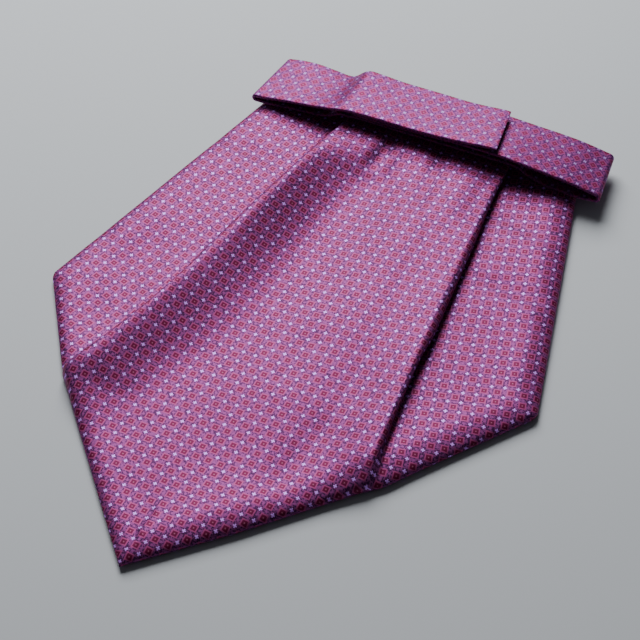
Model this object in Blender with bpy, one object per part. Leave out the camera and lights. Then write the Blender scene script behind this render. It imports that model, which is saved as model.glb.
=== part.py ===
"""Silk cravat, laid flat: a pointed blade with two pleats folded in at its head, and a
narrow bias-cut neckband wrapped across the head with its two ends lapped on top.

Metres, +Z up. The blade points towards -Y and the neckband lies at +Y. The origin is at the
middle of the object's box, on the surface that the cravat lies on.
"""

import math

import bpy
import numpy as np

# Cloth
WALL = 0.0012                 # folded silk of the blade
BAND_WALL = 0.0013            # neckband, a flat tube of the same silk
GAP = 0.0003                  # between neighbouring pieces
BOX_MIDDLE = (0.000225, 0.00108, 0.0)    # taken off every point so the box is centred
LAYER = WALL + GAP            # step from one layer of a pleat to the next

# Cut of the blade, laid flat: x across, y along
CUT_LEFT = -0.0842
CUT_RIGHT = 0.0844
CUT_HEAD = 0.0925
CUT_TIP_X = -0.0052
CUT_TIP_Y = -0.1005
LEFT_CORNER_Y = -0.0202       # where the straight left side meets the point
RIGHT_CORNER_Y = -0.0183
EDGE_ROLL = 0.0013            # radius that the cloth turns down with along its edges
EDGE_TURN = math.radians(75)  # how far round it turns

# Heights above the surface
BLADE_BASE = 0.0024           # middle of the cloth where the blade lies flat
HIDDEN_TOP = BLADE_BASE - WALL / 2 - GAP
HIDDEN_INSET = 0.0022         # hidden layers stop this far inside the outline

# Neckband
BAND_FRONT_Y = 0.0797
BAND_WIDTH = 0.0200

# Mesh density
ROWS = 23
WING_COLUMNS = 6
PANEL_COLUMNS = 12
TURN_STEPS = 4                # facets of each half turn of a pleat
ROLL_STEPS = 3                # facets of the turned edge

# Cloth between a pleat's two folds, over half of the wedge that the pleat takes up
TAKE_MARGIN = 0.0030
TURN_FILL = 0.97              # share of a pleat's height that its two turns take up

# The two pleats. The cloth outside a pleat swings round its foot by the angle "fan".
# "edge" is the visible fold in the flat cut, at the head and at the point's edge; "bow" bends
# it outwards.
PLEATS = {
    "left": {"side": -1, "foot_x": -0.0520, "foot_y": -0.0469, "fan": math.radians(14.65),
             "edge_head": -0.0225, "edge_end": -0.0529, "bow": 0.0028},
    "right": {"side": 1, "foot_x": 0.0416, "foot_y": -0.0437, "fan": math.radians(14.2),
              "edge_head": 0.0305, "edge_end": 0.0426, "bow": 0.0},
}

# Height of the raised panel over the flat blade in millimetres, a row for each section. The
# fold columns are the two pleats' edges, the others lie between them.
# y, left fold, shoulder, trough, crest, right fold
PANEL_SECTIONS = (
    (92.5, 3.3, 3.3, 3.1, 3.2, 3.3),
    (78.0, 3.3, 3.4, 3.1, 3.4, 3.3),
    (69.0, 4.3, 4.4, 2.2, 4.1, 4.1),
    (45.0, 5.2, 5.2, 0.5, 3.8, 4.3),
    (20.0, 5.4, 5.3, 0.2, 3.2, 4.3),
    (-5.0, 5.1, 5.0, 0.1, 2.6, 4.0),
    (-20.0, 4.7, 4.6, 0.1, 2.0, 3.5),
    (-30.0, 4.1, 4.0, 0.0, 1.3, 2.9),
    (-40.0, 3.1, 3.0, 0.0, 0.6, 1.8),
    (-50.0, 1.7, 1.6, 0.0, 0.2, 0.6),
    (-60.0, 0.8, 0.7, 0.0, 0.0, 0.0),
    (-70.0, 0.0, 0.0, 0.0, 0.0, 0.0),
)
SHOULDER_AT = 0.002           # from the left fold
TROUGH_AT = 0.022             # from the left fold
CREST_AT = 0.018              # from the right fold

# Neckband stretches in millimetres: x and height of the band's middle along its front edge
# and along its rear edge, and how far that place sits back from the band's front line.
# front x, front z, rear x, rear z, back
BACK_STRETCH = (
    (-44.2, 4.0, -40.2, 4.1, 0.9),
    (-40.0, 4.0, -37.5, 4.1, 1.4),
    (-36.0, 4.0, -35.0, 4.1, 1.6),
    (-31.0, 4.9, -30.5, 4.7, 1.7),
    (-27.0, 7.0, -26.5, 7.0, 1.8),
    (-20.0, 7.35, -20.0, 7.35, 2.0),
    (0.0, 7.35, 0.0, 7.35, 2.0),
    (20.0, 7.35, 20.0, 7.35, 2.0),
    (33.0, 7.2, 32.5, 7.2, 2.0),
    (37.5, 5.3, 37.0, 5.2, 1.8),
    (43.0, 4.1, 41.5, 4.1, 1.2),
    (48.1, 4.1, 45.6, 4.1, 0.7),
)
RIGHT_LOWER_RUN = (
    (49.7, 4.1, 47.2, 4.1, 0.5),
    (55.0, 4.4, 52.5, 4.2, 0.0),
    (60.4, 4.9, 57.8, 4.4, 0.0),
)
RIGHT_UPPER_RUN = (
    (60.4, 7.0, 57.8, 6.0, 0.0),
    (51.6, 8.7, 48.6, 7.6, 0.0),
    (43.0, 10.8, 40.0, 8.3, 0.0),
    (35.0, 12.0, 35.0, 8.6, 0.0),
    (28.0, 12.3, 28.0, 9.05, 0.3),
    (14.0, 10.3, 14.0, 9.05, 1.2),
    (0.0, 9.3, 0.0, 9.05, 1.5),
    (-12.0, 9.0, -12.0, 9.05, 1.5),
    (-22.5, 9.0, -22.0, 9.6, 1.5),
)
LEFT_LOWER_RUN = (
    (-45.8, 4.0, -41.8, 4.1, 0.7),
    (-50.0, 4.0, -46.0, 4.1, 0.2),
    (-56.0, 4.0, -52.5, 4.2, 0.0),
)
LEFT_UPPER_RUN = (
    (-56.0, 5.7, -52.5, 6.7, 0.0),
    (-51.6, 6.2, -47.7, 7.6, 0.0),
    (-44.7, 7.4, -42.3, 7.9, 0.0),
    (-38.0, 8.3, -36.8, 7.4, 0.0),
    (-30.0, 9.7, -30.2, 7.1, 0.0),
    (-24.8, 10.8, -24.8, 11.2, 0.0),
    (-20.0, 11.2, -20.0, 11.4, 0.0),
    (-12.0, 11.4, -12.0, 10.85, 0.0),
    (0.0, 11.4, 0.0, 10.85, 0.0),
    (13.0, 12.2, 12.0, 10.85, 0.0),
    (27.8, 13.95, 24.5, 12.0, 0.0),
)

SILK = (0.36, 0.10, 0.28)
SILK_SHADE = (0.22, 0.06, 0.16)


def millimetres(table):
    """A table typed in millimetres, as an array in metres."""
    return np.array(table, dtype=float) / 1000.0


def ease(t):
    """Smooth step from 0 to 1."""
    t = np.clip(t, 0.0, 1.0)
    return t * t * (3.0 - 2.0 * t)


def point_edge_y(x):
    """y of the point's two straight edges in the flat cut."""
    left_slope = (LEFT_CORNER_Y - CUT_TIP_Y) / (CUT_TIP_X - CUT_LEFT)
    right_slope = (RIGHT_CORNER_Y - CUT_TIP_Y) / (CUT_RIGHT - CUT_TIP_X)
    slope = np.where(x < CUT_TIP_X, left_slope, right_slope)
    return CUT_TIP_Y + np.abs(x - CUT_TIP_X) * slope


def swing(pleat, x, y):
    """Turn flat cloth outside a pleat inwards about the pleat's foot.

    The turn is full beside and above the foot and fades to nothing straight below it.
    """
    dx = (x - pleat["foot_x"]) * pleat["side"]
    dy = y - pleat["foot_y"]
    from_below = np.mod(np.arctan2(dx, -dy), 2.0 * math.pi)
    angle = pleat["fan"] * ease(from_below / math.radians(110))
    turned_x = dx * np.cos(angle) - dy * np.sin(angle)
    turned_y = dx * np.sin(angle) + dy * np.cos(angle)
    return pleat["foot_x"] + turned_x * pleat["side"], pleat["foot_y"] + turned_y


def fold_edge_x(pleat, s):
    """x of the visible fold; s runs from 0 at the head to 1 at the point's edge."""
    straight = pleat["edge_head"] + (pleat["edge_end"] - pleat["edge_head"]) * s
    return straight - pleat["side"] * pleat["bow"] * np.sin(math.pi * s * s)


def fold_take(pleat, y):
    """Cloth between the visible and the hidden fold: half of the wedge that is folded away."""
    above_foot = np.maximum(y - pleat["foot_y"], 0.0)
    return math.tan(pleat["fan"]) * above_foot / 2 + TAKE_MARGIN


def fold_edge_y(pleat, s):
    """y of the visible fold; s runs from 0 at the head to 1 at the point's edge."""
    end_y = float(point_edge_y(np.array(pleat["edge_end"])))
    return CUT_HEAD + (end_y - CUT_HEAD) * s


def fold_edge_x_at(pleat, y):
    """x of the visible fold at a given y."""
    length = CUT_HEAD - fold_edge_y(pleat, 1.0)
    return fold_edge_x(pleat, np.clip((CUT_HEAD - y) / length, 0.0, 1.0))


def panel_rise(x, y):
    """Height of the raised panel over the flat blade: eased between the table's columns."""
    table = millimetres(PANEL_SECTIONS)[::-1]
    left = fold_edge_x_at(PLEATS["left"], y)
    right = fold_edge_x_at(PLEATS["right"], y)
    places = (left, left + SHOULDER_AT, left + TROUGH_AT, right - CREST_AT, right)
    heights = [np.interp(y, table[:, 0], table[:, i]) for i in range(1, table.shape[1])]
    rise = heights[0] * np.ones_like(x)
    for i in range(1, len(places)):
        t = ease((x - places[i - 1]) / (places[i] - places[i - 1]))
        rise = rise + (heights[i] - heights[i - 1]) * t
    return rise


def rows_of_blade():
    """Row positions: s down the blade, and the turn angle of the rolled edge at the point."""
    s = np.concatenate([np.linspace(0.0, 1.0, ROWS), np.ones(ROLL_STEPS)])
    turn = np.concatenate([np.zeros(ROWS), np.linspace(0.0, EDGE_TURN, ROLL_STEPS + 1)[1:]])
    return s[:, None], turn[:, None]


def flat_y(x_end, s, turn):
    """y in the flat cut of a column that ends at x_end on the point's edge."""
    inset = math.sqrt(2.0) * (WALL / 2 + EDGE_ROLL * (1.0 - np.sin(turn)))
    inset_flat = math.sqrt(2.0) * (WALL / 2 + EDGE_ROLL)
    end = point_edge_y(x_end)
    return CUT_HEAD + (end + inset_flat - CUT_HEAD) * s + (inset - inset_flat)


def wing_grid(pleat, s, turn):
    """The blade outside one pleat, from its rolled outer edge to the hidden fold."""
    cut_edge = CUT_LEFT if pleat["side"] < 0 else CUT_RIGHT
    edge_turn = np.linspace(EDGE_TURN, 0.0, ROLL_STEPS + 1)
    roll_x = cut_edge - pleat["side"] * (WALL / 2 + EDGE_ROLL * (1.0 - np.sin(edge_turn)))
    hidden = fold_edge_x(pleat, s) + pleat["side"] * fold_take(pleat, fold_edge_y(pleat, s))
    across = np.linspace(0.0, 1.0, WING_COLUMNS + 1)[1:]
    inner_x = roll_x[-1] + (hidden - roll_x[-1]) * across
    x = np.hstack([np.repeat(roll_x[None, :], len(s), axis=0), inner_x])
    y = flat_y(x[-1:, :], s, turn)
    turn_across = np.concatenate([edge_turn, np.zeros(WING_COLUMNS)])[None, :]
    drop = EDGE_ROLL * (1.0 - np.cos(np.maximum(turn, turn_across)))
    plan_x, plan_y = swing(pleat, x, y)
    return np.stack([plan_x, plan_y, BLADE_BASE - drop], axis=-1)


def panel_grid(s, turn, inset_left, inset_right):
    """The raised panel between the two visible folds; one column runs down to the tip."""
    left = fold_edge_x(PLEATS["left"], s) + inset_left
    right = fold_edge_x(PLEATS["right"], s) - inset_right
    across = np.linspace(0.0, 1.0, PANEL_COLUMNS + 1)[None, :]
    x = left + (right - left) * across
    middle = PANEL_COLUMNS // 2
    tip_shift = (CUT_TIP_X - x[-1, middle]) * s
    x = x + tip_shift * (1.0 - np.abs(2.0 * across - 1.0))
    y = flat_y(x[-1:, :], s, turn)
    drop = EDGE_ROLL * (1.0 - np.cos(turn))
    return np.stack([x, y, BLADE_BASE + panel_rise(x, y) - drop], axis=-1)


def fold_radii(rise, reach):
    """Radii of a pleat's upper and lower turn.

    "rise" is the pleat's height and "reach" how far the wing starts outside the panel, below
    zero where it starts under the panel. Both turns are wide where the pleat is only a step.
    """
    total = TURN_FILL * (rise ** 2 + np.maximum(reach, 0.0) ** 2) / (2.0 * rise)
    lower = np.where(reach < 0.0, np.minimum(LAYER / 2, total / 2), total / 2)
    return total - lower, lower


def column_slope(column):
    """How far a column of the grid moves in x for a step in y."""
    slope = np.gradient(column[:ROWS, 0]) / np.gradient(column[:ROWS, 1])
    return np.concatenate([slope, np.repeat(slope[-1:], len(column) - ROWS)])


def fold_strip(pleat, panel_side, wing_side):
    """Cloth between the panel's edge and the wing: an arc down, a straight, an arc back up.

    Where the wing lies under the panel both arcs are close to half turns, a knife fold; where
    the pleat opens they turn less and less and leave a soft step. The arcs are drawn across
    the blade, half way between the two sides' y, and then slid along each side's own slope.
    """
    side = pleat["side"]
    panel_slope = column_slope(panel_side) * side
    wing_slope = column_slope(wing_side) * side
    half_y = (wing_side[:, 1] - panel_side[:, 1]) / 2
    out_panel = panel_side[:, 0] * side + panel_slope * half_y
    reach = wing_side[:, 0] * side - wing_slope * half_y - out_panel
    upper = panel_side[:, 2]
    rise = np.maximum(upper - wing_side[:, 2], 1e-5)
    upper_radius, lower_radius = fold_radii(rise, reach)
    spare = rise - 2.0 * (upper_radius + lower_radius)
    angle = 2.0 * np.arctan2(rise, reach + np.sqrt(reach ** 2 + rise * spare))
    share = np.linspace(0.0, 1.0, TURN_STEPS + 1)[:, None]
    upper_out = upper_radius * np.sin(angle * share)
    upper_down = upper_radius * (1.0 - np.cos(angle * share))
    lower_out = reach - lower_radius * np.sin(angle * (1.0 - share))
    lower_down = rise - lower_radius * (1.0 - np.cos(angle * (1.0 - share)))
    run_out = (upper_out[-1:] + lower_out[:1]) / 2
    run_down = (upper_down[-1:] + lower_down[:1]) / 2
    out = out_panel + np.vstack([upper_out[1:], run_out, lower_out[:-1]])
    z = upper - np.vstack([upper_down[1:], run_down, lower_down[:-1]])
    t = (np.arange(1, len(out) + 1) / (len(out) + 1))[:, None]
    half_slope = (panel_slope + wing_slope) / 2
    slope = np.where(t < 0.5, panel_slope, np.where(t > 0.5, wing_slope, half_slope))
    out = out + slope * half_y * (2.0 * t - 1.0)
    y = panel_side[:, 1] + 2.0 * half_y * t
    return np.stack([out.T * side, y.T, z.T], axis=-1)


def fold_inset(pleat, s):
    """How far the panel's flat part stops inside its visible fold, down the blade."""
    rise = panel_rise(fold_edge_x(pleat, s), fold_edge_y(pleat, s))
    return np.maximum(rise - LAYER, 0.0) / 2


def blade_surface():
    """The middle of the blade's cloth as one grid, from the left edge to the right edge."""
    s, turn = rows_of_blade()
    left_pleat = PLEATS["left"]
    right_pleat = PLEATS["right"]
    left_wing = wing_grid(left_pleat, s, turn)
    right_wing = wing_grid(right_pleat, s, turn)
    panel = panel_grid(s, turn, fold_inset(left_pleat, s), fold_inset(right_pleat, s))
    left_strip = fold_strip(left_pleat, panel[:, 0], left_wing[:, -1])
    right_strip = fold_strip(right_pleat, panel[:, -1], right_wing[:, -1])
    return np.concatenate(
        [left_wing, left_strip[:, ::-1], panel, right_strip, right_wing[:, ::-1]], axis=1)


def unit(vectors):
    """Vectors scaled to length one."""
    return vectors / np.linalg.norm(vectors, axis=-1, keepdims=True)


def grid_normals(grid):
    """Upward unit normals of a grid whose rows run towards -Y and columns towards +X."""
    along = np.gradient(grid, axis=0)
    across = np.gradient(grid, axis=1)
    return unit(np.cross(across, -along))


def border(rows, columns):
    """Grid indices round the border, in order."""
    top = [(0, j) for j in range(columns)]
    right = [(i, columns - 1) for i in range(1, rows)]
    bottom = [(rows - 1, j) for j in range(columns - 2, -1, -1)]
    left = [(i, 0) for i in range(rows - 2, 0, -1)]
    return top + right + bottom + left


def border_outward(grid):
    """Unit directions that point out of the grid at its border, in border order."""
    rows, columns = grid.shape[:2]
    directions = []
    for i, j in border(rows, columns):
        out = np.zeros(3)
        if i in (0, rows - 1):
            out += unit(grid[i, j] - grid[1 if i == 0 else rows - 2, j])
        if j in (0, columns - 1):
            out += unit(grid[i, j] - grid[i, 1 if j == 0 else columns - 2])
        directions.append(out)
    return np.array(directions)


def closed_solid(name, upper, lower, rings, color):
    """One closed body between two grids; rings are the border's points between them."""
    rows, columns = upper.shape[:2]
    edge = border(rows, columns)
    count = rows * columns
    points = np.vstack([upper.reshape(-1, 3), lower.reshape(-1, 3)] + list(rings)) - BOX_MIDDLE
    index = np.arange(count).reshape(rows, columns)
    faces = []
    for i in range(rows - 1):
        for j in range(columns - 1):
            quad = (index[i, j], index[i + 1, j], index[i + 1, j + 1], index[i, j + 1])
            faces.append([int(v) for v in quad])
            faces.append([int(v) + count for v in reversed(quad)])
    loops = [[int(index[i, j]) for i, j in edge]]
    for k in range(len(rings)):
        loops.append([2 * count + k * len(edge) + n for n in range(len(edge))])
    loops.append([int(index[i, j]) + count for i, j in edge])
    for first, second in zip(loops[:-1], loops[1:]):
        for n in range(len(edge)):
            m = (n + 1) % len(edge)
            faces.append([first[n], first[m], second[m], second[n]])
    mesh = bpy.data.meshes.new(name)
    mesh.from_pydata(points.tolist(), [], faces)
    mesh.validate()
    mesh.shade_smooth()
    mesh.set_sharp_from_angle(angle=math.radians(50))
    piece = bpy.data.objects.new(name, mesh)
    bpy.context.scene.collection.objects.link(piece)
    mesh.materials.append(silk(name + "_silk", color))
    return piece


def silk(name, color):
    """Plain silk in one colour."""
    material = bpy.data.materials.new(name)
    material.use_nodes = True
    shader = material.node_tree.nodes["Principled BSDF"]
    shader.inputs["Base Color"].default_value = (*color, 1.0)
    shader.inputs["Roughness"].default_value = 0.45
    shader.inputs["Metallic"].default_value = 0.0
    return material


def cloth_wall(name, middle, wall, color):
    """A wall of cloth either side of a middle surface, with rounded edges."""
    normals = grid_normals(middle)
    edge = border(*middle.shape[:2])
    rim = np.array([middle[i, j] for i, j in edge]) + border_outward(middle) * wall * 0.4
    return closed_solid(name, middle + normals * wall / 2, middle - normals * wall / 2,
                        [rim], color)


def blade_hidden_layers():
    """Back cloth, turnings and interlining as one rounded solid, stepped at the edges.

    It lies flat on the surface and fills the space under the raised panel.
    """
    s = np.linspace(0.0, 1.0, ROWS)[:, None]
    left_pleat = PLEATS["left"]
    right_pleat = PLEATS["right"]
    x_end = np.linspace(CUT_LEFT + HIDDEN_INSET, CUT_RIGHT - HIDDEN_INSET, 25)
    x_end[np.argmin(np.abs(x_end - CUT_TIP_X))] = CUT_TIP_X
    y_end = point_edge_y(x_end) + HIDDEN_INSET * math.sqrt(2.0)
    left_x, left_y = swing(left_pleat, x_end, y_end)
    right_x, right_y = swing(right_pleat, x_end, y_end)
    in_left = x_end < left_pleat["edge_end"]
    in_right = x_end > right_pleat["edge_end"]
    plan_x = np.where(in_left, left_x, np.where(in_right, right_x, x_end))
    plan_y = np.where(in_left, left_y, np.where(in_right, right_y, y_end))
    head_y = CUT_HEAD - 0.0015
    head_left = swing(left_pleat, np.array(x_end[0]), np.array(head_y))[0]
    head_right = swing(right_pleat, np.array(x_end[-1]), np.array(head_y))[0]
    head_x = head_left + (head_right - head_left) * (plan_x - plan_x[0]) / (plan_x[-1] - plan_x[0])
    x = head_x + (plan_x - head_x) * s
    y = head_y + (plan_y - head_y) * s
    upper = np.stack([x, y, HIDDEN_TOP + mound_rise(x, y)], axis=-1)
    lower = np.stack([x, y, np.zeros_like(x)], axis=-1)
    edge = border(*upper.shape[:2])
    start = np.array([upper[i, j] for i, j in edge])
    outward = border_outward(lower)
    steps = ((0.0, 0.00075), (0.0011, 0.00065), (0.0014, 0.00040), (0.0014, 0.00020))
    rings = []
    for reach, height in steps:
        ring = start + outward * reach
        ring[:, 2] = height
        rings.append(ring)
    for n, (i, j) in enumerate(edge):
        lower[i, j] += outward[n] * 0.0011
    return closed_solid("blade_hidden_layers", upper, lower, rings, SILK_SHADE)


def mound_rise(x, y):
    """How far the hidden layers rise under the panel, between the two underlays."""
    left = fold_edge_x_at(PLEATS["left"], y)
    right = fold_edge_x_at(PLEATS["right"], y)
    clear_left = left + fold_take(PLEATS["left"], y) + 0.001
    clear_right = right - fold_take(PLEATS["right"], y) - 0.001
    window = ease((x - clear_left) / 0.008) * ease((clear_right - x) / 0.008)
    return np.maximum(panel_rise(x, y) - 0.0006, 0.0) * window


def smooth_path(table, per_span):
    """Points along a smooth curve through a table's rows (Catmull-Rom)."""
    rows = millimetres(table)
    padded = np.vstack([2 * rows[0] - rows[1], rows, 2 * rows[-1] - rows[-2]])
    points = []
    for i in range(1, len(padded) - 2):
        p0, p1, p2, p3 = padded[i - 1:i + 3]
        for t in np.arange(per_span) / per_span:
            points.append(0.5 * (2 * p1 + (p2 - p0) * t + (2 * p0 - 5 * p1 + 4 * p2 - p3) * t ** 2
                                 + (3 * p1 - p0 - 3 * p2 + p3) * t ** 3))
    points.append(padded[-2])
    return np.array(points)


def band_turn(lower_row, upper_row, side, steps=8):
    """Half turn of the band from its lower run up to its upper run."""
    lower_row = millimetres(lower_row)
    upper_row = millimetres(upper_row)
    rows = []
    for phi in np.linspace(0.0, math.pi, steps + 1)[1:-1]:
        row = lower_row + (upper_row - lower_row) * (1.0 - math.cos(phi)) / 2
        for x, z in ((0, 1), (2, 3)):
            radius = (upper_row[z] - lower_row[z]) / 2
            row[x] += side * radius * math.sin(phi)
        rows.append(row)
    return np.array(rows)


def band_surface(rows):
    """Middle of a stretch of the band, ruled from its front edge to its rear edge."""
    across = np.linspace(0.0, 1.0, 4)[:, None]
    front_x, front_z, rear_x, rear_z, back = rows.T
    x = rear_x + (front_x - rear_x) * across
    z = rear_z + (front_z - rear_z) * across
    y = BAND_FRONT_Y + BAND_WIDTH * (1.0 - across) + back
    return np.stack([x, y, z], axis=-1)


def neckband():
    """The three stretches of the neckband."""
    back = smooth_path(BACK_STRETCH, 2)
    right = np.vstack([smooth_path(RIGHT_LOWER_RUN, 2),
                       band_turn(RIGHT_LOWER_RUN[-1], RIGHT_UPPER_RUN[0], 1),
                       smooth_path(RIGHT_UPPER_RUN, 3)])
    left = np.vstack([smooth_path(LEFT_LOWER_RUN, 2),
                      band_turn(LEFT_LOWER_RUN[-1], LEFT_UPPER_RUN[0], -1),
                      smooth_path(LEFT_UPPER_RUN, 3)])
    cloth_wall("neckband_back", band_surface(back), BAND_WALL, SILK)
    cloth_wall("neckband_right_wrap", band_surface(right), BAND_WALL, SILK)
    cloth_wall("neckband_left_wrap", band_surface(left), BAND_WALL, SILK)


def build():
    for item in list(bpy.data.objects):
        bpy.data.objects.remove(item, do_unlink=True)
    cloth_wall("blade_front", blade_surface(), WALL, SILK)
    blade_hidden_layers()
    neckband()


build()
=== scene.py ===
import math

import bpy
import numpy as np
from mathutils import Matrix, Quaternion, Vector


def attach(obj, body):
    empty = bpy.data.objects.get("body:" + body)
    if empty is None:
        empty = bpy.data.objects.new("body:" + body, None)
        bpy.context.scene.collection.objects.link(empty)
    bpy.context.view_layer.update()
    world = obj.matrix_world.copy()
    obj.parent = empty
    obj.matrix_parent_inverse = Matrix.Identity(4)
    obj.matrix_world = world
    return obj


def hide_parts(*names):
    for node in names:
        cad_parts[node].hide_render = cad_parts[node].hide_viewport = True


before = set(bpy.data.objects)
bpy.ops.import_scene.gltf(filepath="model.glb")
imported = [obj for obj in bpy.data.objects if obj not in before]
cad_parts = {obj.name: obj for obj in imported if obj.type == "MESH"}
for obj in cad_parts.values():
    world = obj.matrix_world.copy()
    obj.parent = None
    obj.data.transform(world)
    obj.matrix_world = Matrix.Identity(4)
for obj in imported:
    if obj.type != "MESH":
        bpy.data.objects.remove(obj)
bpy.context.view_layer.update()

# Lengths are in millimetres until a mesh is made.
millimetre = 0.001
boxMiddle = (0.225, 1.08, 0.0)    # taken off every point, so the cravat is centred
repeat = 3.8                       # side of one woven repeat


# Helpers

# Smooth step: 3 t^2 - 2 t^3, held at 0 and 1 outside.
def easeStep(t):
    t = np.clip(t, 0.0, 1.0)
    return t * t * (3.0 - 2.0 * t)


# Cubic through the rows: each span is the Catmull-Rom blend of its four nearest rows.
def smoothRows(rows, at):
    rows = np.asarray(rows, dtype=float)
    at = np.asarray(at, dtype=float)
    padded = np.vstack([2 * rows[0] - rows[1], rows, 2 * rows[-1] - rows[-2]])
    at = np.clip(at, 0.0, len(rows) - 1.0)
    span = np.minimum(at.astype(int), len(rows) - 2)
    t = (at - span)[..., None]
    p0, p1, p2, p3 = padded[span], padded[span + 1], padded[span + 2], padded[span + 3]
    return 0.5 * (2 * p1 + (p2 - p0) * t + (2 * p0 - 5 * p1 + 4 * p2 - p3) * t ** 2
                  + (3 * p1 - p0 - 3 * p2 + p3) * t ** 3)


# Each vector divided by its length.
def unitVectors(vectors):
    return vectors / np.maximum(np.linalg.norm(vectors, axis=-1, keepdims=True), 1e-9)


# Four corners of every cell of a grid of indices, facing up when x grows along a row and y
# falls from row to row.
def gridQuads(grid):
    return np.stack([grid[:-1, :-1], grid[1:, :-1], grid[1:, 1:], grid[:-1, 1:]],
                    axis=-1).reshape(-1, 4)


def linkPiece(name, mesh, material):
    mesh.materials.append(material)
    piece = bpy.data.objects.new(name, mesh)
    bpy.context.scene.collection.objects.link(piece)
    return piece


# Piece from a grid of points; weave holds the cut's own x and y, with one column more on a
# tube. A tube's two ends are closed by a strip of faces from edge to edge.
def gridPiece(name, points, weave, material, tube=False):
    rows, columns = points.shape[:2]
    index = np.arange(rows * columns).reshape(rows, columns)
    if tube:
        index = np.hstack([index, index[:, :1]])
    corner = np.arange(weave.shape[0] * weave.shape[1]).reshape(weave.shape[:2])
    repeats = (weave / repeat).reshape(-1, 2)
    quads = gridQuads(index)
    loopVerts = quads.ravel()
    loopUv = repeats[gridQuads(corner)].reshape(-1, 2)
    starts = np.arange(len(quads)) * 4
    if tube:
        half = columns // 2
        for row in (0, rows - 1):
            line = index[row, :columns]
            fan = np.stack([line[:half - 1], line[1:half], line[::-1][1:half],
                            line[::-1][:half - 1]], axis=-1)
            if row == 0:
                fan = fan[:, ::-1]
            starts = np.concatenate([starts, len(loopVerts) + np.arange(len(fan)) * 4])
            loopVerts = np.concatenate([loopVerts, fan.ravel()])
            endUv = repeats[corner[row, fan - row * columns]]
            loopUv = np.concatenate([loopUv, endUv.reshape(-1, 2)])
    mesh = bpy.data.meshes.new(name)
    mesh.vertices.add(rows * columns)
    mesh.vertices.foreach_set("co", ((points - boxMiddle) * millimetre).ravel())
    mesh.loops.add(len(loopVerts))
    mesh.loops.foreach_set("vertex_index", loopVerts.astype(np.int32))
    mesh.polygons.add(len(starts))
    mesh.polygons.foreach_set("loop_start", starts.astype(np.int32))
    mesh.uv_layers.new(name="weave")
    mesh.uv_layers["weave"].data.foreach_set("uv", loopUv.ravel())
    mesh.update(calc_edges=True)
    mesh.shade_smooth()
    return linkPiece(name, mesh, material)


# Silk

# The woven repeat. Sizes are in repeats, from the middle or the corner of the square.
wovenRepeat = {
    "threads": 20,                       # to a repeat, both ways
    "starReach": 0.25, "starPinch": 20.0,    # length of the star's arms, how thin they are
    "spot": 0.13,                        # the spot half-way between two squares
    "frame": 0.30, "core": 0.20, "eye": 0.05,
    "satinStep": 3.0, "satinTurn": 4.5,      # threads shifted from row to row, and shown of 8
    "bindStep": 5.0, "bindTurn": 3.0,
    "fleckFrom": 0.50,                   # share of the thread pairs that stay dark
    "satinLight": 0.25, "bindLight": 0.15, "fleckLight": 0.60,
    "figureRise": 0.8,                   # figure over ground, to the height of a thread
}


# One maths node; each value is a number or a socket.
def addMath(tree, operation, *values):
    node = tree.nodes.new("ShaderNodeMath")
    node.operation = operation
    for socket, value in zip(node.inputs, values):
        if isinstance(value, (int, float)):
            socket.default_value = value
        else:
            tree.links.new(value, socket)
    return node.outputs[0]


# First colour where the factor is 0 and second where it is 1; the first may be a socket.
def mixColors(tree, factor, first, second):
    node = tree.nodes.new("ShaderNodeMix")
    node.data_type = "RGBA"
    for label, value in (("Factor_Float", factor), ("A_Color", first), ("B_Color", second)):
        socket = next(s for s in node.inputs if s.identifier == label)
        if isinstance(value, bpy.types.NodeSocket):
            tree.links.new(value, socket)
        else:
            socket.default_value = (*value, 1.0)
    return next(s for s in node.outputs if s.identifier == "Result_Color")


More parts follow.
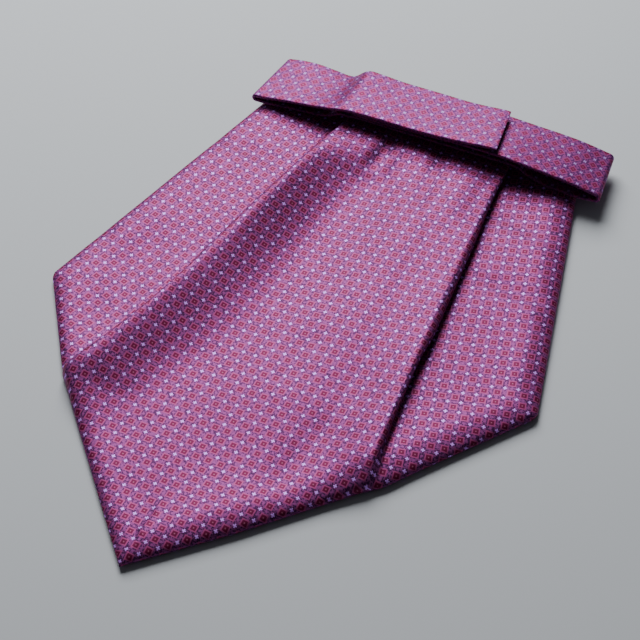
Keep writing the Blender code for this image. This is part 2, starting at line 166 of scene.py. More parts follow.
# Masks of the repeat: a four-armed star at the corners, a framed square with an eye in the
# middle, and a flecked satin ground with a spot half-way between two squares.
def makeWovenFigure():
    group = bpy.data.node_groups.new("wovenFigure", "ShaderNodeTree")
    group.interface.new_socket(name="Weave", in_out="INPUT", socket_type="NodeSocketVector")
    for label in ("Star", "Frame", "Square", "Eye", "Ground", "Relief"):
        group.interface.new_socket(name=label, in_out="OUTPUT", socket_type="NodeSocketFloat")
    start = group.nodes.new("NodeGroupInput")
    end = group.nodes.new("NodeGroupOutput")
    split = group.nodes.new("ShaderNodeSeparateXYZ")
    group.links.new(start.outputs["Weave"], split.inputs[0])
    across, along = split.outputs[0], split.outputs[1]
    threads = wovenRepeat["threads"]

    # middle of the thread that a place lies on, in repeats
    def threadMiddle(place):
        counted = addMath(group, "FLOOR", addMath(group, "MULTIPLY", place, threads))
        return addMath(group, "DIVIDE", addMath(group, "ADD", counted, 0.5), threads)

    # on where the count along a staggered row, wrapped at 8, is below the turn
    def staggered(first, second, step, turn):
        row = addMath(group, "ADD", addMath(group, "MULTIPLY", first, step), second)
        count = addMath(group, "MULTIPLY", row, threads)
        return addMath(group, "LESS_THAN", addMath(group, "WRAP", count, 8.0, 0.0), turn)

    # round back of each thread: the size of a sine with one half wave to a thread
    def threadCrown(place):
        return addMath(group, "ABSOLUTE", addMath(group, "SINE", addMath(
            group, "MULTIPLY", place, threads * math.pi)))

    threadX, threadY = threadMiddle(across), threadMiddle(along)
    # distance from the nearest corner, and from the middle, of the repeat
    cornerX = addMath(group, "PINGPONG", threadX, 0.5)
    cornerY = addMath(group, "PINGPONG", threadY, 0.5)
    middleX = addMath(group, "SUBTRACT", 0.5, cornerX)
    middleY = addMath(group, "SUBTRACT", 0.5, cornerY)
    # star: the two distances added, and their product times the pinch, inside the reach
    pinch = addMath(group, "MULTIPLY", addMath(group, "MULTIPLY", cornerX, cornerY),
                    wovenRepeat["starPinch"])
    star = addMath(group, "LESS_THAN", addMath(group, "ADD", addMath(
        group, "ADD", cornerX, cornerY), pinch), wovenRepeat["starReach"])
    spot = addMath(group, "LESS_THAN", addMath(group, "MINIMUM", addMath(
        group, "ADD", middleX, cornerY), addMath(group, "ADD", cornerX, middleY)),
        wovenRepeat["spot"])
    # squares: the larger of the two distances from the middle
    ring = addMath(group, "MAXIMUM", middleX, middleY)
    inside = addMath(group, "LESS_THAN", ring, wovenRepeat["frame"])
    core = addMath(group, "LESS_THAN", ring, wovenRepeat["core"])
    eye = addMath(group, "LESS_THAN", ring, wovenRepeat["eye"])
    # ground: how light it is, from the satin, its binding and the flecks
    satin = staggered(threadX, threadY, wovenRepeat["satinStep"], wovenRepeat["satinTurn"])
    binding = staggered(threadY, threadX, wovenRepeat["bindStep"], wovenRepeat["bindTurn"])
    # flecks: pairs of threads that took the dye unevenly
    pair = group.nodes.new("ShaderNodeVectorMath")
    pair.operation = "SCALE"
    pair.inputs["Scale"].default_value = threads / 2
    group.links.new(start.outputs["Weave"], pair.inputs[0])
    cell = group.nodes.new("ShaderNodeVectorMath")
    cell.operation = "FLOOR"
    group.links.new(pair.outputs[0], cell.inputs[0])
    fleck = group.nodes.new("ShaderNodeTexWhiteNoise")
    fleck.noise_dimensions = "2D"
    group.links.new(cell.outputs[0], fleck.inputs["Vector"])
    dyed = addMath(group, "GREATER_THAN", fleck.outputs["Value"], wovenRepeat["fleckFrom"])
    ground = addMath(group, "ADD", addMath(
        group, "MULTIPLY", satin, wovenRepeat["satinLight"]), addMath(
        group, "MULTIPLY", binding, wovenRepeat["bindLight"]))
    ground = addMath(group, "ADD", ground, addMath(
        group, "MULTIPLY", dyed, wovenRepeat["fleckLight"]))
    # relief: round threads, with the figure raised over the ground
    figureRise = addMath(group, "MULTIPLY", addMath(group, "ADD", star, inside),
                         wovenRepeat["figureRise"])
    relief = addMath(group, "ADD", addMath(
        group, "MULTIPLY", threadCrown(across), threadCrown(along)), figureRise)
    masks = {"Star": star, "Frame": addMath(group, "SUBTRACT", inside, core),
             "Square": addMath(group, "SUBTRACT", core, eye), "Eye": eye,
             "Ground": addMath(group, "MAXIMUM", ground, spot), "Relief": relief}
    for label, value in masks.items():
        group.links.new(value, end.inputs[label])
    return group


figureGroup = makeWovenFigure()


# Figured silk: coloured threads by the woven repeat, a soft coloured luster, fine relief.
def makeSilk(name, look):
    material = bpy.data.materials.new(name)
    material.use_nodes = True
    tree = material.node_tree
    shader = tree.nodes["Principled BSDF"]
    uv = tree.nodes.new("ShaderNodeUVMap")
    uv.uv_map = "weave"
    turn = tree.nodes.new("ShaderNodeMapping")
    turn.inputs["Rotation"].default_value = (0.0, 0.0, math.radians(look["turn"]))
    turn.inputs["Location"].default_value = (*look["shift"], 0.0)
    tree.links.new(uv.outputs[0], turn.inputs[0])
    figure = tree.nodes.new("ShaderNodeGroup")
    figure.node_tree = figureGroup
    tree.links.new(turn.outputs[0], figure.inputs["Weave"])
    color = mixColors(tree, figure.outputs["Ground"], look["groundDark"], look["groundLight"])
    for label in ("Frame", "Square", "Eye", "Star"):
        color = mixColors(tree, figure.outputs[label], color, look[label.lower()])
    tree.links.new(color, shader.inputs["Base Color"])
    bump = tree.nodes.new("ShaderNodeBump")
    bump.inputs["Strength"].default_value = look["relief"]
    bump.inputs["Distance"].default_value = look["threadHeight"] * millimetre
    tree.links.new(figure.outputs["Relief"], bump.inputs["Height"])
    tree.links.new(bump.outputs[0], shader.inputs["Normal"])
    shader.inputs["Roughness"].default_value = look["roughness"]
    shader.inputs["Metallic"].default_value = look["luster"]
    shader.inputs["Specular IOR Level"].default_value = look["gloss"]
    shader.inputs["Specular Tint"].default_value = (*look["glossTint"], 1.0)
    return material


# Turn is in degrees and shift in repeats.
silkLook = {
    "turn": 0.0, "shift": (-0.5, 0.125),
    "groundDark": (0.014, 0.004, 0.036), "groundLight": (0.262, 0.056, 0.222),
    "frame": (0.350, 0.055, 0.185), "square": (0.125, 0.007, 0.042),
    "eye": (0.330, 0.095, 0.170), "star": (0.680, 0.320, 1.0),
    "relief": 0.04, "threadHeight": 0.1,
    "roughness": 0.43, "luster": 0.26, "gloss": 0.15, "glossTint": (1.0, 0.25, 0.80),
}
# the band's cloth is cut on the bias
bandLook = {
    **silkLook, "turn": 45.0, "shift": (0.0, 0.0),
    "groundDark": (0.040, 0.010, 0.075), "star": (0.420, 0.220, 0.580),
    "square": (0.170, 0.012, 0.065), "frame": (0.310, 0.052, 0.180),
}
# the same silk from behind, duller
backLook = {
    **silkLook, "groundLight": (0.16, 0.04, 0.11), "star": (0.20, 0.15, 0.26),
    "frame": (0.22, 0.05, 0.08), "eye": (0.22, 0.08, 0.08), "gloss": 0.3,
}
bladeSilk = makeSilk("bladeSilk", silkLook)
bandSilk = makeSilk("bandSilk", bandLook)
backSilk = makeSilk("bladeBackSilk", backLook)
print("silk ready")


# Blade

# Places are in the flat cut, seen from the front: x across, y towards the head.
blade = {
    "left": -84.2, "right": 84.4, "head": 92.5, "tipX": -5.2, "tipY": -100.5,
    "leftCornerY": -20.2, "rightCornerY": -18.3,
    # how far the point's edges were trimmed in, at places across the cut
    "trimX": (-84.2, -53.0, -5.2, 18.0, 42.6, 84.4), "trim": (-0.5, 3.4, 0.0, 1.6, 5.6, 2.6),
    "top": 3.0,            # height of the flat cloth
    "rollReach": 1.6,      # how far in from the outline the edge starts to roll
    "rollHeight": 1.2,     # half of the rolled edge's height
    "turning": 11.0,       # cloth turned under behind the edge
    "troughTail": 0.75,    # below 1, the slope down to the panel's trough ends long and soft
}
# The cloth outside a pleat swings round the pleat's foot by its fan, in degrees. "edge" is the
# visible fold in the flat cut, at the head and at the point; "bow" bends it outwards; "layer"
# is the gap that the cloth folded under it keeps.
pleats = {
    "left": {"side": -1, "footX": -52.0, "footY": -46.9, "fan": 13.45, "edgeHead": -22.5,
             "edgeEnd": -52.9, "bow": 2.8, "layer": 0.7},
    "right": {"side": 1, "footX": 41.6, "footY": -43.7, "fan": 14.2, "edgeHead": 30.5,
              "edgeEnd": 42.6, "bow": -1.3, "layer": 1.2},
}
swingEase = 110.0       # degrees from straight below the foot to the full swing
takeMargin = 3.0        # least cloth folded away behind a pleat
turnFill = 0.97         # how much of the room under a fold its two turns fill
overhangEase = 1.5      # change from a fold turned under to one that stands
stripMiddle = (0.4, 0.2)    # where the strip passes from the panel's run to the wing's

# Height of the panel between the pleats over the flat cloth, and how far in from the left fold
# the shoulder and the trough lie, and from the right fold the crest.
panelLabels = ("y", "leftFold", "shoulder", "trough", "crest", "rightFold",
               "shoulderIn", "troughIn", "crestIn")
panelRows = (
    (-104.0, 0.0, 0.0, 0.0, 0.0, 0.0, 3.0, 14.0, 18.0),
    (-70.0, 0.0, 0.0, 0.0, 0.0, 0.0, 3.0, 14.0, 18.0),
    (-60.0, 1.5, 1.4, 0.0, 0.0, 0.0, 3.0, 24.0, 18.0),
    (-51.0, 3.1, 3.0, 0.0, 0.3, 1.1, 3.0, 25.0, 18.0),
    (-42.0, 4.6, 4.5, 0.0, 0.8, 2.8, 3.0, 27.0, 18.0),
    (-30.0, 5.5, 5.4, 0.0, 1.5, 4.2, 2.0, 27.0, 18.0),
    (-16.0, 5.9, 5.8, 0.15, 2.2, 5.1, 1.5, 27.5, 18.0),
    (0.0, 6.0, 5.9, 0.35, 3.1, 5.4, 2.5, 28.5, 18.0),
    (24.0, 6.1, 6.0, 0.0, 3.5, 5.2, 3.0, 25.0, 18.0),
    (46.0, 5.8, 5.8, 0.0, 4.0, 4.7, 2.0, 22.5, 17.0),
    (60.0, 5.1, 5.2, 0.6, 3.9, 4.4, 2.0, 23.0, 17.0),
    (70.0, 4.3, 4.4, 2.2, 4.0, 4.2, 4.0, 26.0, 18.0),
    (78.0, 3.3, 3.4, 3.1, 3.4, 3.3, 7.0, 25.0, 18.0),
    (92.5, 3.3, 3.3, 3.1, 3.2, 3.3, 7.0, 23.0, 18.0),
)

# Soft creases: a line from start to end, half width, height; below zero is a trough.
# x start, y start, x end, y end, width, height
creases = (
    (-1.2, 78.0, -1.2, 56.0, 1.2, -0.22),
    (-6.5, 80.0, -8.5, 66.0, 2.6, -1.00),
    (10.0, 80.0, 12.5, 54.0, 3.0, -0.85),
    (22.0, 76.0, 23.0, 52.0, 4.5, 0.60),
    (-64.0, 61.0, -34.0, 57.0, 3.0, -0.45),
    (-56.0, 14.0, -52.0, -30.0, 8.0, -0.95),
    (-74.0, 10.0, -58.0, -6.0, 4.0, -0.40),
    (42.0, 37.0, 62.0, 34.0, 3.0, -0.50),
    (37.0, 63.0, 56.0, 60.0, 3.0, -0.40),
    (5.0, -4.0, 8.0, -26.0, 5.0, -0.35),
    (24.0, -34.0, 21.0, -60.0, 4.5, -0.45),
    (-26.0, -52.0, -14.0, -84.0, 7.0, -0.35),
)
creaseEase = 0.25       # how far past its ends a crease fades, to its length
# Slow unevenness: height, then for each of two sines its x length, y length and start.
slowWaves = (
    (0.10, (11.0, 17.0, 0.6), (-29.0, 13.0, 0.0)),
    (0.05, (5.3, -7.9, 0.0), (21.0, 9.1, 0.0)),
)
# Towards the right edges and the left ones the cloth lifts a little, then drops before it turns:
# how far in the lift starts, its height, how far in the drop starts, its depth.
edges = {"right": (34.0, 1.5, 9.0, 1.8), "left": (24.0, 0.2, 6.0, 1.0)}
# steps of the grid
bladeSteps = {"rows": 190, "wing": 46, "panel": 104, "arc": 10, "run": 5, "roll": 9, "under": 3}


# The point's two edges: y grows in proportion to the distance from the tip's x, and the trim
# is added.
def cutEdgeY(x):
    leftSlope = (blade["leftCornerY"] - blade["tipY"]) / (blade["tipX"] - blade["left"])
    rightSlope = (blade["rightCornerY"] - blade["tipY"]) / (blade["right"] - blade["tipX"])
    slope = np.where(x < blade["tipX"], leftSlope, rightSlope)
    trim = np.interp(x, blade["trimX"], blade["trim"])
    return blade["tipY"] + np.abs(x - blade["tipX"]) * slope + trim


# Turn about the pleat's foot; the angle eases from nothing below it to full beside it.
def swing(pleat, x, y):
    dx = (x - pleat["footX"]) * pleat["side"]
    dy = y - pleat["footY"]
    fromBelow = np.mod(np.arctan2(dx, -dy), 2 * math.pi)
    angle = math.radians(pleat["fan"]) * easeStep(fromBelow / math.radians(swingEase))
    return (pleat["footX"] + (dx * np.cos(angle) - dy * np.sin(angle)) * pleat["side"],
            pleat["footY"] + dx * np.sin(angle) + dy * np.cos(angle))


# Visible fold: a straight line down the cut, less a bow, sin(pi s^2), that swells towards the
# end. s is 0 at the head and 1 at the point's edge.
def foldX(pleat, s):
    return (pleat["edgeHead"] + (pleat["edgeEnd"] - pleat["edgeHead"]) * s
            - pleat["side"] * pleat["bow"] * np.sin(math.pi * s * s))


def foldY(pleat, s):
    endY = float(cutEdgeY(np.array(pleat["edgeEnd"])))
    return blade["head"] + (endY - blade["head"]) * s


def foldXAt(pleat, y):
    s = (blade["head"] - y) / (blade["head"] - foldY(pleat, 1.0))
    return foldX(pleat, np.clip(s, 0.0, 1.0))


# Half the wedge folded away: tan(fan) times half the height over the foot, and a margin.
def foldTake(pleat, y):
    return math.tan(math.radians(pleat["fan"])) * np.maximum(y - pleat["footY"], 0) / 2 + takeMargin


# The table's heights, cubic down the blade and eased from place to place across it.
def panelRise(x, y):
    table = np.array(panelRows)
    row = smoothRows(table[:, 1:], np.interp(y, table[:, 0], np.arange(len(table))))
    value = {label: row[..., i] for i, label in enumerate(panelLabels[1:])}
    left = foldXAt(pleats["left"], y)
    right = foldXAt(pleats["right"], y)
    places = (left, left + value["shoulderIn"], left + value["troughIn"],
              right - value["crestIn"], right)
    heights = [np.maximum(value[label], 0.0)
               for label in ("leftFold", "shoulder", "trough", "crest", "rightFold")]
    tails = (1.0, blade["troughTail"], 1.0, 1.0)
    rise = heights[0] * np.ones_like(x)
    for i, tail in enumerate(tails):
        t = np.clip((x - places[i]) / (places[i + 1] - places[i]), 0, 1)
        rise = rise + (heights[i + 1] - heights[i]) * easeStep(t ** tail)
    return rise


# Slow waves, each the product of two sines, and the creases, each a bell across its line.
def clothWaves(x, y):
    z = np.zeros(np.broadcast(x, y).shape)
    for height, first, second in slowWaves:
        z = z + height * (np.sin(x / first[0] + y / first[1] + first[2])
                          * np.sin(x / second[0] + y / second[1] + second[2]))
    for x0, y0, x1, y1, width, height in creases:
        length = math.hypot(x1 - x0, y1 - y0)
        ux, uy = (x1 - x0) / length, (y1 - y0) / length
        along = ((x - x0) * ux + (y - y0) * uy) / length
        off = (x - x0) * uy - (y - y0) * ux
        ends = (easeStep((along + creaseEase) / (2 * creaseEase))
                * easeStep((1 + creaseEase - along) / (2 * creaseEase)))
        z = z + height * np.exp(-(off / width) ** 2) * ends
    return z


# In the flat cut: lift times (1 - d / start)^2, less the drop in the same way, d being the way
# in from the nearest edge.
def edgeLift(x, y):
    beside = np.where(x > 0, blade["right"] - x, x - blade["left"])
    below = (y - cutEdgeY(x)) / math.sqrt(2)
    inward = np.minimum(beside, below)
    liftFrom, lift, dropFrom, drop = [np.where(x > blade["tipX"], *pair)
                                      for pair in zip(edges["right"], edges["left"])]
    return (lift * np.clip(1 - inward / liftFrom, 0, 1) ** 2
            - drop * np.clip(1 - inward / dropFrom, 0, 1) ** 2)


# From the flat cloth outwards: the roll's angle, then the distance turned under.
def edgeProfile():
    roll, under = bladeSteps["roll"], bladeSteps["under"]
    angle = np.concatenate([np.linspace(0, math.pi, roll + 1)[1:], np.full(under, math.pi)])
    turned = np.concatenate([np.zeros(roll), np.linspace(0, blade["turning"], under + 1)[1:]])
    return angle, turned


# How far inside the outline: reach times (1 - sin of the roll), and the turning.
def edgeInset(angle, under):
    return blade["rollReach"] * (1.0 - np.sin(angle)) + under


# Cloth used since the roll began: the mean radius times the angle, and the turning.
def edgeLength(angle, under):
    return (blade["rollReach"] + blade["rollHeight"]) / 2 * angle + under


# Fall of a rolled edge below the flat cloth: its half height times (1 - cos of the roll).
def edgeDrop(angle):
    return blade["rollHeight"] * (1.0 - np.cos(angle))


# The cloth between the panel's side and the wing's side at one pleat: an arc out and down from
# the panel, a straight run, and an arc back into the wing, tangent to both. The arcs' radii fill
# the height between the two layers.
def pleatStrip(pleat, panelSide, wingSide, panelCut, wingCut):
    side = pleat["side"]
    mainRows = bladeSteps["rows"]

    # x gained to y gained down a column, held below the main rows
    def slopeOf(column):
        slope = np.gradient(column[:mainRows, 0]) / np.gradient(column[:mainRows, 1])
        return np.concatenate([slope, np.repeat(slope[-1:], len(column) - mainRows)]) * side

    panelSlope, wingSlope = slopeOf(panelSide), slopeOf(wingSide)
    halfY = (wingSide[:, 1] - panelSide[:, 1]) / 2
    outPanel = panelSide[:, 0] * side + panelSlope * halfY
    reach = wingSide[:, 0] * side - wingSlope * halfY - outPanel
    rise = np.maximum(panelSide[:, 2] - wingSide[:, 2], 0.01)
    total = turnFill * (rise ** 2 + np.maximum(reach, 0) ** 2) / (2 * rise)
    tight = np.minimum(pleat["layer"] / 2, total / 2)
    lower = tight + (total / 2 - tight) * easeStep((reach + overhangEase) / overhangEase)
    upper = total - lower
    spare = rise - 2 * (upper + lower)
    bend = 2 * np.arctan2(rise, reach + np.sqrt(np.maximum(reach ** 2 + rise * spare, 0)))
    share = np.linspace(0, 1, bladeSteps["arc"] + 1)[:, None]
    upOut, upDown = upper * np.sin(bend * share), upper * (1 - np.cos(bend * share))
    lowOut = reach - lower * np.sin(bend * (1 - share))
    lowDown = rise - lower * (1 - np.cos(bend * (1 - share)))
    run = np.linspace(0, 1, bladeSteps["run"] + 2)[1:-1, None]
    out = np.vstack([upOut, upOut[-1:] + (lowOut[:1] - upOut[-1:]) * run, lowOut])
    down = np.vstack([upDown, upDown[-1:] + (lowDown[:1] - upDown[-1:]) * run, lowDown])
    steps = np.hypot(np.diff(out, axis=0), np.diff(down, axis=0))
    used = np.vstack([np.zeros_like(steps[:1]), np.cumsum(steps, axis=0)])
    out, down, used = out[1:-1], down[1:-1], used[1:-1]
    length = used[-1:] + steps[-1:]
    t = (np.arange(1, len(out) + 1) / (len(out) + 1))[:, None]
    blend = easeStep((t - stripMiddle[0]) / stripMiddle[1])
    slope = panelSlope + (wingSlope - panelSlope) * blend
    x = (outPanel + out + slope * halfY * (2 * t - 1)) * side
    y = panelSide[:, 1] + 2 * halfY * t
    z = panelSide[:, 2] - down
    fromPanel = panelCut[:, 0] + side * used
    fromWing = wingCut[:, 0] - side * (length - used)
    cutX = fromPanel + (fromWing - fromPanel) * blend
    cutY = panelCut[:, 1] + (wingCut[:, 1] - panelCut[:, 1]) * t
    return np.stack([x.T, y.T, z.T], -1), np.stack([cutX.T, cutY.T], -1)


# The whole front cloth as one grid, from the left turning to the right turning. Down it s runs
# from the head to the point's edge, and then the rows roll and turn under.
def bladeGrid():
    angle, under = edgeProfile()
    mainRows = bladeSteps["rows"]
    s = np.concatenate([np.linspace(0, 1, mainRows), np.ones(len(angle))])[:, None]
    rowAngle = np.concatenate([np.zeros(mainRows), angle])[:, None]
    rowUnder = np.concatenate([np.zeros(mainRows), under])[:, None]
    flatInset = edgeInset(0.0, 0.0)

    def downTo(xEnd):
        end = cutEdgeY(xEnd) + math.sqrt(2) * flatInset
        return blade["head"] + (end - blade["head"]) * s

    # outward is 0 in the columns that already turn under at the side
    def flatY(xEnd, outward=1.0):
        inset = rowUnder - blade["rollReach"] * np.sin(rowAngle) * outward
        return downTo(xEnd) + math.sqrt(2) * inset

    def cutY(xEnd):
        return downTo(xEnd) - math.sqrt(2) * edgeLength(rowAngle, rowUnder)

    def wing(pleat):
        side = pleat["side"]
        outline = blade["left"] if side < 0 else blade["right"]
        flatColumns = np.zeros(bladeSteps["wing"] + 1)
        columnAngle = np.concatenate([angle[::-1], flatColumns])[None, :]
        columnUnder = np.concatenate([under[::-1], flatColumns])[None, :]
        count = len(angle)
        rolled = outline - side * edgeInset(columnAngle, columnUnder)
        hidden = foldX(pleat, s) + side * foldTake(pleat, foldY(pleat, s))
        share = np.linspace(0, 1, bladeSteps["wing"] + 1)[None, :]
        inner = rolled[:, -1:] + (hidden - rolled[:, -1:]) * share
        x = np.hstack([np.repeat(rolled[:, :count], len(s), axis=0), inner])
        cutX = x.copy()
        cutX[:, :count] = (outline - side * (flatInset - edgeLength(
            columnAngle[:, :count], columnUnder[:, :count])))
        y = flatY(x[-1:], np.clip(np.cos(columnAngle), 0, 1))
        planX, planY = swing(pleat, x, y)
        roll = np.maximum(rowAngle, columnAngle)
        upward = np.clip(np.cos(roll), 0, 1)
        z = (blade["top"] - edgeDrop(roll) + clothWaves(planX, planY) * upward
             + edgeLift(x, y) * (1 + np.cos(roll)) / 2)
        return np.stack([planX, planY, z], -1), np.stack([cutX, cutY(x[-1:])], -1)

    def panel():
        inset = {}
        for name, pleat in pleats.items():
            rise = panelRise(foldX(pleat, s), foldY(pleat, s))
            inset[name] = np.maximum(rise - pleat["layer"], 0) / 2
        left = foldX(pleats["left"], s) + inset["left"]
        right = foldX(pleats["right"], s) - inset["right"]
        share = np.linspace(0, 1, bladeSteps["panel"] + 1)[None, :]
        x = left + (right - left) * share
        # one column is led to the tip, and its neighbours follow in a tent shape
        tip = np.argmin(np.abs(x[-1] - blade["tipX"]))
        tent = 1 - np.abs(share - share[0, tip]) / np.where(
            share < share[0, tip], share[0, tip], 1 - share[0, tip])
        x = x + (blade["tipX"] - x[-1, tip]) * s * tent
        y = flatY(x[-1:])
        upward = np.clip(np.cos(rowAngle), 0, 1)
        z = (blade["top"] + (panelRise(x, y) + clothWaves(x, y)) * upward - edgeDrop(rowAngle)
             + edgeLift(x, y) * (1 + np.cos(rowAngle)) / 2)
        return np.stack([x, y, z], -1), np.stack([x, cutY(x[-1:])], -1)

    leftWing, leftCut = wing(pleats["left"])
    rightWing, rightCut = wing(pleats["right"])
    middle, middleCut = panel()
    leftStrip, leftStripCut = pleatStrip(pleats["left"], middle[:, 0], leftWing[:, -1],
                                         middleCut[:, 0], leftCut[:, -1])
    rightStrip, rightStripCut = pleatStrip(pleats["right"], middle[:, -1], rightWing[:, -1],
                                           middleCut[:, -1], rightCut[:, -1])
    points = np.concatenate([leftWing, leftStrip[:, ::-1], middle, rightStrip,
                             rightWing[:, ::-1]], axis=1)
    weave = np.concatenate([leftCut, leftStripCut[:, ::-1], middleCut, rightStripCut,
                            rightCut[:, ::-1]], axis=1)
    return points, weave


bladeFront = gridPiece("bladeFront", *bladeGrid(), bladeSilk)
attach(bladeFront, "root")
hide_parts("blade_front")
print("blade front", len(bladeFront.data.polygons), "faces")


# Hidden layers

back = {
    "inset": 3.0, "headInset": 1.5,    # in from the front's outline, and from its head
    "low": 0.10, "high": 0.50,         # heights of the flat bottom and of the top
    "step": 0.2,                       # the bottom layer's reach past the top one
    "columns": 161, "rows": 90,
}


# Back cloth and turnings: the front's outline drawn in, and ruled straight from the head down.
def backGrid():
    inset = back["inset"]
    columns = np.linspace(blade["left"] + inset, blade["right"] - inset, back["columns"])
    columns[np.argmin(np.abs(columns - blade["tipX"]))] = blade["tipX"]
    endY = cutEdgeY(columns) + inset * math.sqrt(2)
    planX, planY = columns.copy(), endY.copy()
    for pleat in pleats.values():
        outside = (columns - pleat["edgeEnd"]) * pleat["side"] > 0
        turnedX, turnedY = swing(pleat, columns, endY)
        planX = np.where(outside, turnedX, planX)
        planY = np.where(outside, turnedY, planY)
    headY = blade["head"] - back["headInset"]
    headLeft = swing(pleats["left"], columns[0], headY)[0]
    headRight = swing(pleats["right"], columns[-1], headY)[0]
    headX = headLeft + (headRight - headLeft) * (planX - planX[0]) / (planX[-1] - planX[0])
    s = np.linspace(0, 1, back["rows"])[:, None]
    return headX + (planX - headX) * s, headY + (planY - headY) * s


# The layers as one closed slab: a top grid, the same grid below with its rim moved out, and
# the side between them.
def backPiece():
    x, y = backGrid()
    rows, columns = x.shape
    low = np.stack([x, y, np.full_like(x, back["low"])], -1)
    high = low.copy()
    high[..., 2] = back["high"]
    outward = np.zeros_like(low)
    outward[0] += [0, 1, 0]
    outward[-1] += [0, -1, 0]
    outward[:, 0] += [-1, 0, 0]
    outward[:, -1] += [1, 0, 0]
    low += outward * back["step"]
    count = rows * columns
    index = np.arange(count).reshape(rows, columns)
    topQuads = gridQuads(index)
    edge = np.concatenate([index[0], index[1:, -1], index[-1, -2::-1], index[-2:0:-1, 0]])
    after = np.roll(edge, -1)
    sideQuads = np.stack([edge, after, after + count, edge + count], -1)
    quads = np.concatenate([topQuads, topQuads[:, ::-1] + count, sideQuads])
    points = np.concatenate([high.reshape(-1, 3), low.reshape(-1, 3)])
    mesh = bpy.data.meshes.new("bladeBack")
    mesh.from_pydata(((points - boxMiddle) * millimetre).tolist(), [], quads.tolist())
    mesh.uv_layers.new(name="weave")
    flat = np.concatenate([np.stack([x, y], -1).reshape(-1, 2)] * 2) / repeat
    mesh.uv_layers["weave"].data.foreach_set("uv", flat[quads.ravel()].ravel())
    mesh.shade_smooth()
    return linkPiece("bladeBack", mesh, backSilk)


bladeBack = backPiece()
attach(bladeBack, "root")
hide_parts("blade_hidden_layers")
print("blade back", len(bladeBack.data.polygons), "faces")


# Neckband

band = {
    "frontY": 79.7, "width": 20.0,         # where the front edge lies, and the table's width
    "half": 10.2, "thick": 0.55,           # half the flat tube's width and half its thickness
    "endThick": 0.35, "endTaper": 2.5,     # share left at the two ends, and over what length
    "rowSteps": 14, "flatSteps": 23, "roundSteps": 9,
}
# x and height of the band's middle along its front edge and its rear edge, and how far that
# place sits back; from the free end on top, round the left turn, behind, round the right turn
# and back to the hidden end.
# front x, front z, rear x, rear z, back
leftUpper = (
    (27.8, 13.95, 24.5, 12.0, 0.0),
    (13.0, 12.2, 12.0, 10.85, 0.0),
    (0.0, 11.4, 0.0, 10.85, 0.0),
    (-12.0, 11.4, -12.0, 10.85, 0.0),
    (-20.0, 11.2, -20.0, 11.4, 0.0),
    (-24.8, 10.8, -24.8, 11.2, 0.0),
    (-30.0, 9.7, -30.2, 7.1, 0.0),
    (-38.0, 8.3, -36.8, 7.4, 0.0),
    (-44.7, 7.4, -42.3, 7.9, 0.0),
    (-51.6, 6.2, -47.7, 7.6, 0.0),
    (-56.0, 5.7, -52.5, 6.7, 0.0),
)
underneath = (
    (-56.0, 4.0, -52.5, 4.2, 0.0),
    (-50.0, 4.0, -46.0, 4.1, 0.2),
    (-45.0, 4.0, -41.0, 4.1, 0.8),
    (-40.0, 4.0, -37.5, 4.1, 1.4),
    (-36.0, 4.0, -35.0, 4.1, 1.6),
    (-31.0, 4.9, -30.5, 4.7, 1.7),
    (-27.0, 7.0, -26.5, 7.0, 1.8),
    (-20.0, 7.35, -20.0, 7.35, 2.0),
    (0.0, 7.35, 0.0, 7.35, 2.0),
    (20.0, 7.35, 20.0, 7.35, 2.0),
    (33.0, 7.2, 32.5, 7.2, 2.0),
    (37.5, 5.3, 37.0, 5.2, 1.8),
    (43.0, 4.1, 41.5, 4.1, 1.2),
    (48.1, 4.1, 45.6, 4.1, 0.7),
    (55.0, 4.4, 52.5, 4.2, 0.0),
    (60.4, 4.9, 57.8, 4.4, 0.0),
)
rightUpper = (
    (60.4, 7.5, 57.8, 6.6, 0.0),
    (51.6, 9.1, 48.6, 8.2, 0.0),
    (43.0, 10.1, 40.0, 8.9, 0.0),
    (35.0, 10.9, 35.0, 9.1, 0.0),
    (28.0, 11.2, 28.0, 9.2, 0.3),
    (14.0, 10.3, 14.0, 9.05, 1.2),
    (0.0, 9.3, 0.0, 9.05, 1.5),
    (-12.0, 9.0, -12.0, 9.05, 1.5),
    (-22.5, 9.0, -22.0, 9.6, 1.5),
)


# Rows of the whole band: the tables made dense, and between them half a circle at each turn.
def bandPath():
    steps = band["rowSteps"]

    def turnRows(first, last, side):
        first, last = np.array(first), np.array(last)
        phi = np.linspace(0, math.pi, steps)[1:-1, None]
        rows = first + (last - first) * (1 - np.cos(phi)) / 2
        rows[:, 0:1] += side * abs(last[1] - first[1]) / 2 * np.sin(phi)
        rows[:, 2:3] += side * abs(last[3] - first[3]) / 2 * np.sin(phi)
        return rows

    def dense(rows):
        return smoothRows(rows, np.linspace(0, len(rows) - 1, (len(rows) - 1) * steps + 1))

    return np.vstack([dense(leftUpper), turnRows(leftUpper[-1], underneath[0], -1),
                      dense(underneath), turnRows(underneath[-1], rightUpper[0], 1),
                      dense(rightUpper)])


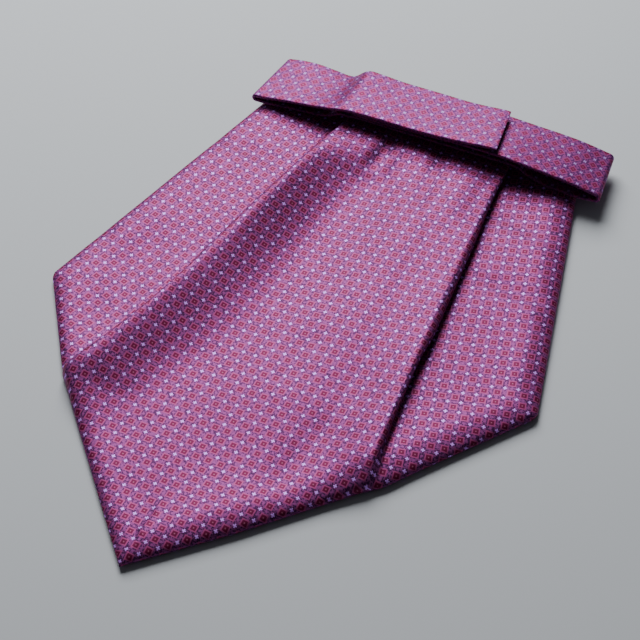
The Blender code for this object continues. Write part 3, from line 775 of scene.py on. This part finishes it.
# A flat tube: the ruled middle plus its normal times the tube's own section, which is flat with
# two half-round edges.
def bandGrid():
    frontX, frontZ, rearX, rearZ, setBack = (column[:, None] for column in bandPath().T)
    thick = band["thick"]
    flatHalf = band["half"] - thick
    flat = np.linspace(-1, 1, band["flatSteps"]) * flatHalf
    turn = np.linspace(0, math.pi, band["roundSteps"])[1:-1]
    edge = flatHalf + thick * np.sin(turn)
    level = np.ones(band["flatSteps"])
    across = np.concatenate([flat, edge, flat[::-1], -edge])
    lift = np.concatenate([level, np.cos(turn), -level, -np.cos(turn)])
    share = across[None, :] / band["width"] + 0.5     # 0 at the rear edge, 1 at the front
    x = rearX + (frontX - rearX) * share
    z = rearZ + (frontZ - rearZ) * share
    y = band["frontY"] + band["width"] * (1 - share) + setBack
    middle = np.stack([x, y, z], -1)
    alongStep = np.gradient(middle, axis=0)
    acrossStep = np.stack([frontX - rearX, np.full_like(frontX, -band["width"]),
                           frontZ - rearZ], -1)
    normal = unitVectors(np.cross(acrossStep, alongStep))
    used = np.concatenate([[0], np.cumsum(np.linalg.norm(np.diff(
        middle.mean(axis=1), axis=0), axis=1))])[:, None]
    fromEnd = np.minimum(used, used[-1] - used)
    taper = (band["endThick"] + (1 - band["endThick"])
             * np.sqrt(easeStep(fromEnd / band["endTaper"])))
    points = middle + normal * (lift[None, :] * thick * taper)[..., None]
    around = np.concatenate([[0], np.cumsum(np.hypot(
        np.diff(np.append(across, across[0])), np.diff(np.append(lift, lift[0]) * thick)))])
    return points, np.stack(np.broadcast_arrays(used, around[None, :]), -1)


neckband = gridPiece("neckband", *bandGrid(), bandSilk, tube=True)
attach(neckband, "root")
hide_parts("neckband_back", "neckband_right_wrap", "neckband_left_wrap")
print("neckband", len(neckband.data.polygons), "faces")


# Floor, light and camera; places in metres

studio = {
    "floorHalf": 2.0, "floorColor": (0.56, 0.585, 0.615), "floorRoughness": 0.7,
    "lightPlace": (-0.315, 0.475, 0.52), "lightSize": 0.50, "lightPower": 8.8,
    "lightColor": (0.98, 0.99, 1.0),
    "fillColor": (0.90, 0.94, 1.0), "fillPower": 0.06,
    "cameraFrom": (0.2005, -0.3820, 0.4607), "cameraTo": (0.0047, 0.0003, 0.0030),
    "cameraRoll": -1.85, "lens": 120.6, "clipStart": 0.01,
}


def makeFloor():
    half = studio["floorHalf"]
    mesh = bpy.data.meshes.new("floor")
    mesh.from_pydata([(-half, -half, 0), (half, -half, 0), (half, half, 0), (-half, half, 0)],
                     [], [(0, 1, 2, 3)])
    material = bpy.data.materials.new("paleFloor")
    material.use_nodes = True
    shader = material.node_tree.nodes["Principled BSDF"]
    shader.inputs["Base Color"].default_value = (*studio["floorColor"], 1)
    shader.inputs["Roughness"].default_value = studio["floorRoughness"]
    return linkPiece("floor", mesh, material)


floor = makeFloor()


# One soft square light that faces the cravat, and a weak even fill.
def addLight():
    light = bpy.data.lights.new("windowLight", "AREA")
    light.shape = "SQUARE"
    light.size = studio["lightSize"]
    light.energy = studio["lightPower"]
    light.color = studio["lightColor"]
    lamp = bpy.data.objects.new("windowLight", light)
    lamp.location = studio["lightPlace"]
    lamp.rotation_euler = (-Vector(studio["lightPlace"])).to_track_quat("-Z", "Y").to_euler()
    bpy.context.scene.collection.objects.link(lamp)
    world = bpy.data.worlds.new("studio")
    world.use_nodes = True
    fill = world.node_tree.nodes["Background"]
    fill.inputs["Color"].default_value = (*studio["fillColor"], 1)
    fill.inputs["Strength"].default_value = studio["fillPower"]
    bpy.context.scene.world = world


def addCamera():
    camera = bpy.data.objects.new("camera", bpy.data.cameras.new("camera"))
    camera.data.lens = studio["lens"]
    camera.data.clip_start = studio["clipStart"]
    camera.location = studio["cameraFrom"]
    aim = Vector(studio["cameraTo"]) - Vector(studio["cameraFrom"])
    camera.rotation_mode = "QUATERNION"
    camera.rotation_quaternion = aim.to_track_quat("-Z", "Y") @ Quaternion(
        (0, 0, 1), math.radians(studio["cameraRoll"]))
    bpy.context.scene.collection.objects.link(camera)
    bpy.context.scene.camera = camera


addLight()
addCamera()
print("floor, light and camera ready")
